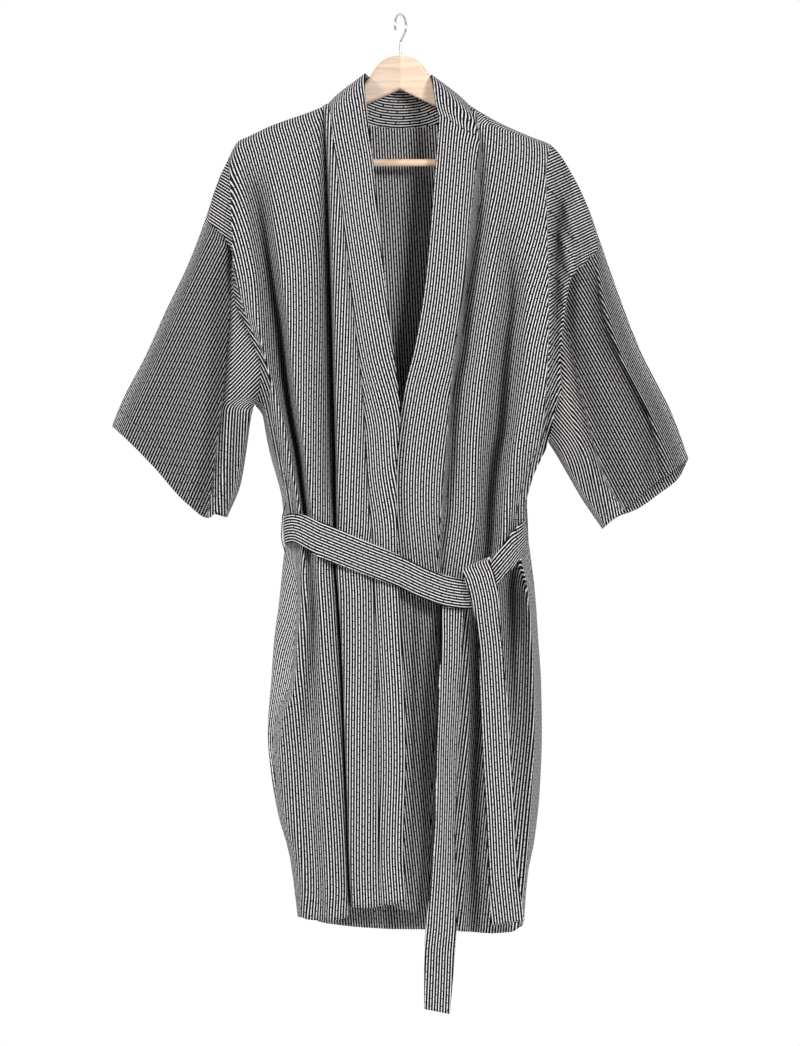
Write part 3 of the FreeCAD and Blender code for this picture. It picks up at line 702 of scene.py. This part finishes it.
RIGHT_SLEEVE = [
    [(282, -324, 3), (304, -387, 0), (335, -468, 0), (383, -565, 0), (404, -623, 0)],
    [(272, -334, 18), (284, -405, 28), (309, -482, 31), (353, -572, 31), (375, -646, 26)],
    [(266, -341, 22), (275, -373, 14), (285, -429, 11), (301, -468, 10), (326, -507, 10), (342, -546, 10),
     (355, -590, 11), (361, -655, 12)],
    [(251, -356, 26), (262, -429, 34), (279, -499, 36), (308, -580, 36), (337, -674, 32)],
    [(233, -380, 18), (233, -429, 11), (243, -488, 10), (256, -546, 10), (270, -605, 11), (292, -665, 14),
     (314, -696, 21)],
    [(219, -420, 26), (226, -471, 30), (237, -534, 30), (252, -597, 28), (280, -665, 24), (304, -704, 20)],
    [(225, -527, 28), (232, -560, 26), (246, -605, 22), (264, -655, 18), (294, -712, 14)],
    [(204, -593, 2), (220, -618, 0), (239, -651, 0), (254, -677, 0), (284, -721, 0)],
    [(214, -540, -22), (240, -610, -26), (268, -660, -26), (302, -706, -22)],
    [(225, -450, -28), (262, -540, -34), (298, -610, -34), (332, -694, -28)],
    [(250, -370, -26), (295, -470, -34), (340, -570, -34), (364, -672, -28)],
    [(270, -335, -16), (306, -420, -26), (350, -520, -26), (391, -650, -22)],
]

# The belt's stretches: x, y, top edge z, bottom edge z.
BELT_LEFT = [
    (-160, 8, -708, -741), (-163, -14, -707, -741), (-161, -34, -703, -741), (-150, -54, -699, -740),
    (-111, -68, -711, -762), (-57, -71, -735, -782), (-2, -73, -758, -803), (38, -74, -777, -821),
    (69, -75, -788, -831), (92, -76, -792, -833), (118, -74, -788, -826),
]
BELT_RIGHT = [
    (110, -70, -784, -816), (124, -69, -769, -808), (145, -63, -741, -788), (160, -54, -722, -771),
    (170, -38, -713, -760), (174, -20, -711, -752), (174, 8, -712, -752),
]
BELT_BACK = [
    (-161, 6, -708, -742), (-160, 22, -709, -745), (-146, 44, -710, -750), (-110, 54, -712, -752),
    (0, 56, -714, -754), (110, 54, -713, -753), (152, 42, -712, -752), (170, 20, -712, -752),
    (174, 6, -712, -752),
]

# The belt's hanging ends: left edge x, z, y, then right edge x, z, y.
FRONT_TAIL = [
    (94, -782, -72, 128, -768, -70), (90, -776, -78, 125, -762, -76), (87, -781, -88, 122, -765, -87),
    (91, -796, -94, 131, -784, -94), (99, -822, -96, 136, -812, -97), (104, -844, -94, 139, -853, -95),
    (110, -890, -89, 143, -900, -90), (112, -960, -87, 149, -965, -88),
    (115, -1045, -87, 154, -1045, -87), (119, -1116, -88, 159, -1120, -88),
    (123, -1200, -87, 163, -1198, -87), (127, -1274, -87, 173, -1267, -87),
]
BACK_TAIL = [
    (58, -806, -62, 92, -806, -62), (58, -830, -64, 88, -830, -64), (57, -877, -80, 85, -885, -68),
    (53, -961, -84, 83, -961, -64), (50, -1045, -84, 79, -1045, -62), (50, -1116, -84, 76, -1134, -64),
    (45, -1190, -82, 77, -1206, -68), (37, -1265, -82, 78, -1277, -74), (33, -1310, -82, 75, -1325, -80),
    (33, -1391, -82, 69, -1398, -82),
]

NECK_BAND = [
    [(-49, -82, 0), (-44, -86, -12), (-32, -92, -24), (-16, -97, -30), (0, -98, -32), (16, -97, -30),
     (29, -92, -24), (39, -87, -12), (43, -84, 0)],
    [(-74, -103, 0), (-62, -112, -18), (-42, -121, -30), (-20, -127, -36), (0, -129, -38), (20, -127, -36),
     (42, -120, -30), (62, -112, -18), (69, -105, 0)],
    [(-101, -125, 0), (-84, -140, -24), (-60, -150, -34), (-30, -157, -40), (0, -160, -42), (30, -158, -40),
     (62, -152, -34), (88, -142, -24), (95, -126, 0)],
]


def strap(stations, rows):
    """A grid along a strap, from the (x, y, z) of both its edges."""
    stations = np.array(stations, float) * MM
    middle = (stations[:, :3] + stations[:, 3:]) / 2
    at = travelled(middle)
    wanted = np.linspace(0, at[-1], rows)
    ends = np.stack([smooth(at, stations[:, k], wanted) for k in range(6)], axis=1)
    share = np.linspace(0, 1, 11)[None, :, None]
    return ends[:, None, :3] * (1 - share) + ends[:, None, 3:] * share


def strap_piece(name, stations, rows, crown, thickness, seed):
    """A strap with a slightly raised middle and small waves along it."""
    grid = strap(stations, rows)
    across = np.linspace(-1, 1, grid.shape[1])[None, :]
    outwards = np.cross(np.gradient(grid[:, 5], axis=0), grid[:, -1] - grid[:, 0])
    outwards /= np.linalg.norm(outwards, axis=1)[:, None]
    rng = np.random.default_rng(seed)
    turns = np.linspace(0, 2 * math.pi, rows)
    wave = sum(rng.uniform(0.3, 1) * np.sin(rng.uniform(2, 9) * turns + rng.uniform(0, 6)) for _ in range(4))
    lift = crown * (1 - across**2) + 0.35 * MM * wave[:, None] * (1 + across)
    grid = grid + outwards[:, None, :] * lift[:, :, None]
    grain = grain_of(grid, 5)
    edges = np.stack([np.full(grid.shape[:2], 1.0), grain[:, :, 0] - grain[:, :1, 0] - 2.2 * MM,
                      grain[:, -1:, 0] - grain[:, :, 0] - 2.2 * MM], axis=2)
    return build(name, grid, grain, edges, thickness, cloth)


def run_stations(run):
    """Both edges of a stretch that goes round the body."""
    return [(x, y, top, x, y, bottom) for x, y, top, bottom in run]


def tail_stations(tail):
    return [(a, y, z, b, v, w) for a, z, y, b, w, v in tail]


def joined(name, grid, grain, edges, thickness=CLOTH, material=cloth):
    return build(name, grid, grain, edges, thickness, material)


def sleeve(name, lines, leans, rows=120, seed=11):
    """A sleeve: a tube of cloth whose first row is tucked under the armhole seam."""
    shares = np.linspace(0, 1, rows)
    net = [follow(line, shares)[:, [0, 2, 1]] * [1, -1, 1] for line in lines]
    grid, marks = weave_rows(net, closed=True)
    grid = ripple(grid, 0.8 * MM, seed)
    grid[:, -1] = grid[:, 0]
    grain = grain_of(grid, 0, square=False)
    edges = edges_of(grid, grain)
    edges[:, :, 1:] = 1.0
    outer = np.sign(-grid[:, :, 1])
    grid[:, :, 1] -= outer * HEM_RISE * np.clip(edges[:, :, 0] / (2 * MM) + 0.5, 0, 1)
    # Painted shade: the front of each sleeve, up to its fourth fold line, is darkened as if it lay
    # SLEEVE_SHADE deep in a hollow; the folds' own hollows get painted shade as on the body.
    in_front = np.clip(-grid[:, :, 1] / (15 * MM), 0, 1)
    in_front[:, marks[4] :] = 0
    grain[:, :, 2] = np.maximum(hollows(np.abs(grid[:, :, 1])), SLEEVE_SHADE * in_front)
    main, underarm, hinge = leans
    column = np.arange(grid.shape[1])
    grain[:, :, 0] = laid_straight(grid, main, hinge, (column > marks[3]) & (column < marks[-3]))
    for mark, strip in side_strips(marks):
        grain[:, strip, 0] = carried_on(grid, grain, mark, strip, np.sign(hinge))
    inner = slice(marks[4], marks[8])
    grain[:, inner, 0] = laid_straight(grid[:, inner], underarm, hinge, True)
    inward = grid[0] - grid[1]
    inward *= SLEEVE_TUCK / np.linalg.norm(inward, axis=1)[:, None]
    tucked = grid[0] + inward
    tucked[:, 1] *= 0.8
    grid = np.concatenate([tucked[None], grid])
    grain = np.concatenate([grain[:1] - [0, SLEEVE_TUCK, 0], grain])
    edges = np.concatenate([edges[:1] - [SLEEVE_TUCK, 0, 0], edges])
    return joined(name, grid, grain, edges)


front_left = joined("front_left", *hung(LEFT_FRONT, -1, 7, LEFT_LEANS, LEFT_STRIP, seed=3))
# beside holds the height of the left front lying over this piece's left edge: below the belt its painted
# shadow darkens the columns nearest that edge.
right_grid, right_grain, right_edges = hung(
    RIGHT_FRONT, -1, 2, RIGHT_LEANS, RIGHT_STRIP, seed=5, beside=(0.064, -1.0)
)
# The back comes over the right shoulder, so the seam lies in front; the cloth beyond it puckers.
past_seam = right_grain[:, :, 1] - right_grain[1:2, :, 1] - SHOULDER_SEAM
nearer = np.abs(past_seam) < np.abs(right_edges[:, :, 1])
right_edges[:, :, 1] = np.where(nearer, past_seam, right_edges[:, :, 1])
over_armhole = np.clip((right_grid[:, :, 0] - 0.205) / 0.02, 0, 1)
over_armhole *= np.clip((right_grid[:, :, 2] + 0.42) / 0.05, 0, 1)
across_puckers = right_grid[:, :, 0] + PUCKER_SLOPE * right_grid[:, :, 2]
right_grid[:, :, 1] -= PUCKER_DEPTH * over_armhole * np.sin(across_puckers * 2 * math.pi / PUCKER_WIDTH)
front_right = joined("front_right", right_grid, right_grain, right_edges)
back_parts = hung(BACK, 1, 7, BACK_LEANS, seed=7, at_neck=(5, 6, 7, 8, 9))
back = joined("back", *back_parts, material=back_cloth)
band_left = joined("band_left", *hung(LEFT_BAND, -1, 3, LEFT_BAND_LEANS, seed=13), thickness=BAND_CLOTH)
# Below the belt the right band is darkened as if in a hollow between the overlapping left front, 64 mm out,
# and a ridge 51 mm out on its right: painted shadow and painted shade.
band_parts = hung(RIGHT_BAND, -1, 3, RIGHT_BAND_LEANS, seed=17, beside=(0.064, 0.051))
band_right = joined("band_right", *band_parts, thickness=BAND_CLOTH)

neck_lines = [follow(line, np.linspace(0, 1, 70))[:, [0, 2, 1]] * [1, -1, 1] for line in NECK_BAND]
neck_grid, _ = weave_rows(neck_lines)
neck_grain = grain_of(neck_grid, 0)
neck_edges = edges_of(neck_grid, neck_grain, -1.0)
band_neck = joined("band_neck", neck_grid, neck_grain, neck_edges, thickness=BAND_CLOTH, material=back_cloth)

sleeve_left = sleeve("sleeve_left_cloth", LEFT_SLEEVE, LEFT_SLEEVE_LEANS, seed=19)
sleeve_right = sleeve("sleeve_right_cloth", RIGHT_SLEEVE, RIGHT_SLEEVE_LEANS, seed=23)

belt_left = strap_piece("belt_left", run_stations(BELT_LEFT), 120, -0.8 * MM, BELT_CLOTH, 29)
belt_right = strap_piece("belt_right", run_stations(BELT_RIGHT), 60, -0.8 * MM, BELT_CLOTH, 31)
belt_back = strap_piece("belt_back", run_stations(BELT_BACK), 120, 0.8 * MM, BELT_CLOTH, 37)
tail_front = strap_piece("tail_front", tail_stations(FRONT_TAIL), 160, 0.8 * MM, BELT_CLOTH, 41)
tail_back = strap_piece("tail_back", tail_stations(BACK_TAIL), 160, 0.8 * MM, BELT_CLOTH, 43)

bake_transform(front_left)
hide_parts("front_left_panel", "front_left_skirt")
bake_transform(band_left)
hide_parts("front_band_left", "front_band_left_skirt")
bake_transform(sleeve_left)
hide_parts("sleeve_left")
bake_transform(sleeve_right)
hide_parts("sleeve_right")
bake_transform(tail_front)
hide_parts("belt_knot", "belt_tail_front")
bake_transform(tail_back)
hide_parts("belt_tail_back")
for piece, node in (
    (front_right, "front_right_panel"),
    (back, "back_panel"),
    (band_right, "front_band_right"),
    (band_neck, "neck_band_back"),
    (belt_left, "belt_left_run"),
    (belt_right, "belt_right_run"),
    (belt_back, "belt_back_run"),
):
    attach(piece, "robe")
    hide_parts(node)


def thread_loop(name, path, node):
    """A thread belt loop, twisted from two plies, that bows out over the belt."""
    points = np.array(path, float) * MM
    at = travelled(points)
    wanted = np.linspace(0, at[-1], 60)
    line = np.stack([smooth(at, points[:, k], wanted) for k in range(3)], axis=1)
    turn = wanted / (5 * MM) * 2 * math.pi
    verts, faces, sides, count = [], [], 8, 0
    for ply in (0, math.pi):
        middle = line + 0.5 * MM * np.stack([np.cos(turn + ply), np.sin(turn + ply), 0 * turn], axis=1)
        for k, (x, y, z) in enumerate(middle):
            for j in range(sides):
                a = 2 * math.pi * j / sides
                verts.append((x + 0.62 * MM * math.cos(a), y + 0.62 * MM * math.sin(a), z))
                if k:
                    here, before, nxt = count + k * sides, count + (k - 1) * sides, (j + 1) % sides
                    faces.append((before + j, before + nxt, here + nxt, here + j))
        for end in (0, len(middle) - 1):
            faces.append([count + end * sides + j for j in range(sides)])
        count += len(middle) * sides
    mesh = bpy.data.meshes.new(name)
    mesh.from_pydata(verts, [], faces)
    mesh.polygons.foreach_set("use_smooth", [True] * len(mesh.polygons))
    mesh.materials.append(loop_cotton)
    piece = bpy.data.objects.new(name, mesh)
    bpy.context.scene.collection.objects.link(piece)
    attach(piece, "robe")
    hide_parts(node)


thread_loop("loop_left", [(-156, 1, -664), (-161, 3, -684), (-166, 4, -708), (-167, 4, -732), (-163, 3, -750),
                          (-157, 2, -762)], "belt_loop_left")
thread_loop("loop_right", [(177, 1, -668), (177, 3, -688), (178, 4, -710), (179, 4, -735), (180, 3, -756),
                           (184, 1, -774)], "belt_loop_right")

# ---------------------------------------------------------------- stage, light and camera

camera_data = bpy.data.cameras.new("camera")
camera_data.sensor_fit = "VERTICAL"
camera_data.sensor_height = 36
CAMERA_FAR = 12.0
FRAME_HEIGHT = 1.4644
camera_data.lens = 36 * CAMERA_FAR / FRAME_HEIGHT
camera = bpy.data.objects.new("camera", camera_data)
camera.location = (-0.0007, -0.04 - CAMERA_FAR, -0.713)
camera.rotation_euler = (math.pi / 2, 0, 0)
bpy.context.scene.collection.objects.link(camera)
bpy.context.scene.camera = camera


def softbox(name, place, aim, size, watts):
    light = bpy.data.lights.new(name, "AREA")
    light.size, light.energy = size, watts
    lamp = bpy.data.objects.new(name, light)
    lamp.location = place
    lamp.rotation_euler = (Vector(aim) - Vector(place)).to_track_quat("-Z", "Y").to_euler()
    bpy.context.scene.collection.objects.link(lamp)


softbox("key", (-2.6, -2.8, 1.4), (0, 0, -0.6), 0.7, 100)
softbox("second", (1.5, -3.9, 0.5), (0, 0, -0.5), 0.7, 130)

# A white room, a little dimmer in front of the robe, so that its folds show.
world = bpy.data.worlds.new("world")
world.use_nodes = True
sky = world.node_tree
direction = sky.nodes.new("ShaderNodeTexCoord")
axes = sky.nodes.new("ShaderNodeSeparateXYZ")
dimmer = sky.nodes.new("ShaderNodeMapRange")
for label, value in (("From Min", -0.75), ("From Max", 0.1), ("To Min", 0.46), ("To Max", 1.0)):
    dimmer.inputs[label].default_value = value
sky.links.new(direction.outputs["Generated"], axes.inputs[0])
sky.links.new(axes.outputs["Y"], dimmer.inputs["Value"])
sky.links.new(dimmer.outputs["Result"], sky.nodes["Background"].inputs["Strength"])
sky.nodes["Background"].inputs["Color"].default_value = (1, 1, 1, 1)
bpy.context.scene.world = world
bpy.context.scene.view_settings.view_transform = "Standard"

floor_mesh = bpy.data.meshes.new("floor")
corners = [(x, y, -1.75) for x, y in ((-1.5, -1.5), (1.5, -1.5), (1.5, 1.5), (-1.5, 1.5))]
floor_mesh.from_pydata(corners, [], [(0, 1, 2, 3)])
floor = bpy.data.objects.new("floor", floor_mesh)
bpy.context.scene.collection.objects.link(floor)
pale = Nodes("floor_pale")
floor_mesh.materials.append(pale.finish(Base_Color=(0.8, 0.8, 0.79, 1), Roughness=0.8))
